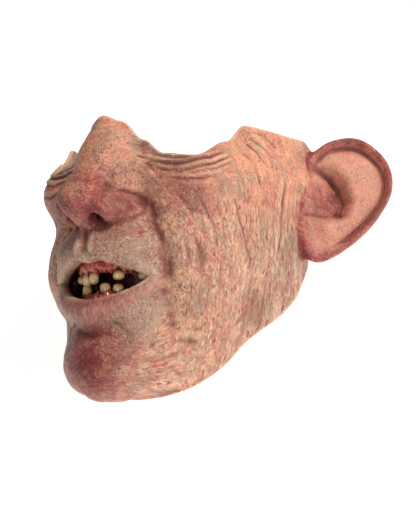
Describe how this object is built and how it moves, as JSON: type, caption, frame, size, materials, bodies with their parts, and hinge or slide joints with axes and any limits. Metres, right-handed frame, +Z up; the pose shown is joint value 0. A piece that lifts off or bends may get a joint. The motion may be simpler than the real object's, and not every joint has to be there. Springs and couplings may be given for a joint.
{
  "type": "half mask",
  "caption": "Hollow latex half mask of a calm older face from nose bridge to under the chin, with ears, and peg teeth, gums and a tongue behind parted lips; it lies face up on its rim.",
  "frame": {"origin": "on the floor under the middle of the mask as it lies face up on its trimmed rim", "axes": "+X to the wearer's left, ear to ear; +Y from the chin towards the crown; +Z up, out of the face and 43 degrees from the way the face looks"},
  "size_m": [0.2488, 0.2124, 0.1442],
  "materials": {
    "latex_skin": "satin",
    "gum_latex": "gloss",
    "tongue_latex": "gloss",
    "tooth_resin": "gloss"
  },
  "bodies": {
    "root": {"face_skin": "latex_skin", "upper_gum": "gum_latex", "lower_gum": "gum_latex", "tongue": "tongue_latex", "upper_tooth_right_molar": "tooth_resin", "upper_tooth_right_canine": "tooth_resin", "upper_tooth_right_incisor": "tooth_resin", "upper_tooth_left_canine": "tooth_resin", "upper_tooth_left_molar": "tooth_resin", "lower_tooth_right_molar": "tooth_resin", "lower_tooth_right_canine": "tooth_resin", "lower_tooth_left_incisor": "tooth_resin", "lower_tooth_left_canine": "tooth_resin", "lower_tooth_left_molar": "tooth_resin"}
  },
  "joints": []
}
